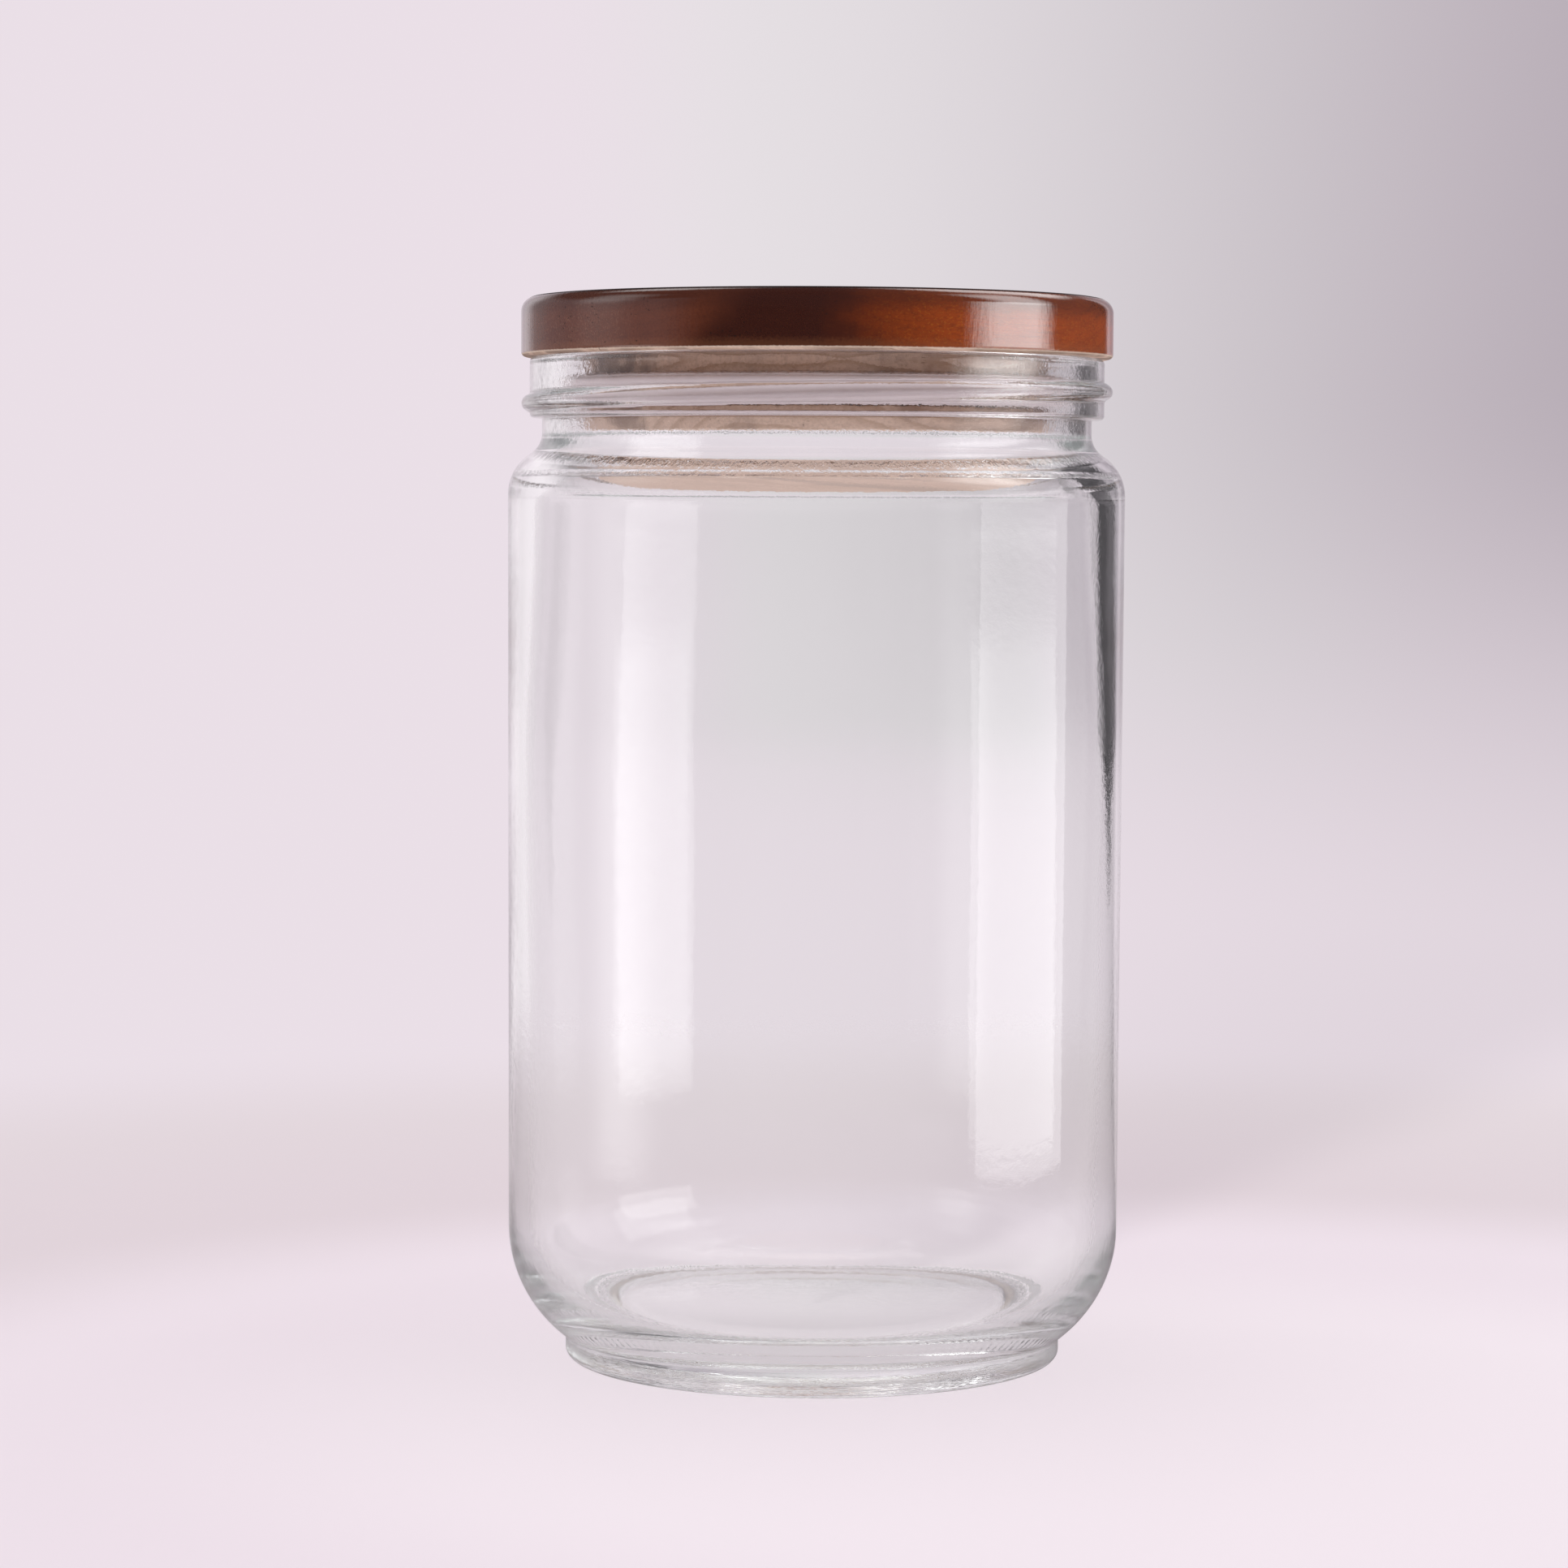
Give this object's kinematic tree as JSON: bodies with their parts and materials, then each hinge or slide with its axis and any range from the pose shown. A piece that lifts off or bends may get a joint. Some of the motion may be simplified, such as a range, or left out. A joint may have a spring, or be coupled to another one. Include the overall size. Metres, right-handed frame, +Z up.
{
  "type": "storage jar",
  "caption": "Clear cylindrical glass storage jar with a threaded finish, round heel and foot ring, closed by a turned wooden lid whose plug seals in the mouth with a soft ring.",
  "frame": {"origin": "centre of the bearing ring that the jar stands on", "axes": "+Z up along the jar's axis through the lid, -Y towards the picture's camera, +X to the right"},
  "size_m": [0.1017, 0.1016, 0.1752],
  "materials": {
    "clear_glass": "clear moulded soda-lime glass, fire-polished, faint green at the thick edges",
    "stained_wood": "turned hardwood, red-brown stain under a gloss lacquer on the cap, bare and pale on the underside and plug",
    "clear_silicone": "translucent silicone, satin"
  },
  "bodies": {
    "jar": {"glass_jar": "clear_glass"},
    "seal": {"seal_ring": "clear_silicone"},
    "lid": {"lid_stave_left": "stained_wood", "lid_stave_right": "stained_wood"}
  },
  "joints": [
    {"name": "lid_lift", "type": "slide", "parent": "jar", "child": "seal", "axis": [0, 0, 1], "range_m": [0, 0.06]},
    {"name": "lid_turn", "type": "hinge", "parent": "seal", "child": "lid", "pos_m": [0, 0, 0.1596], "axis": [0, 0, 1], "continuous": true}
  ]
}
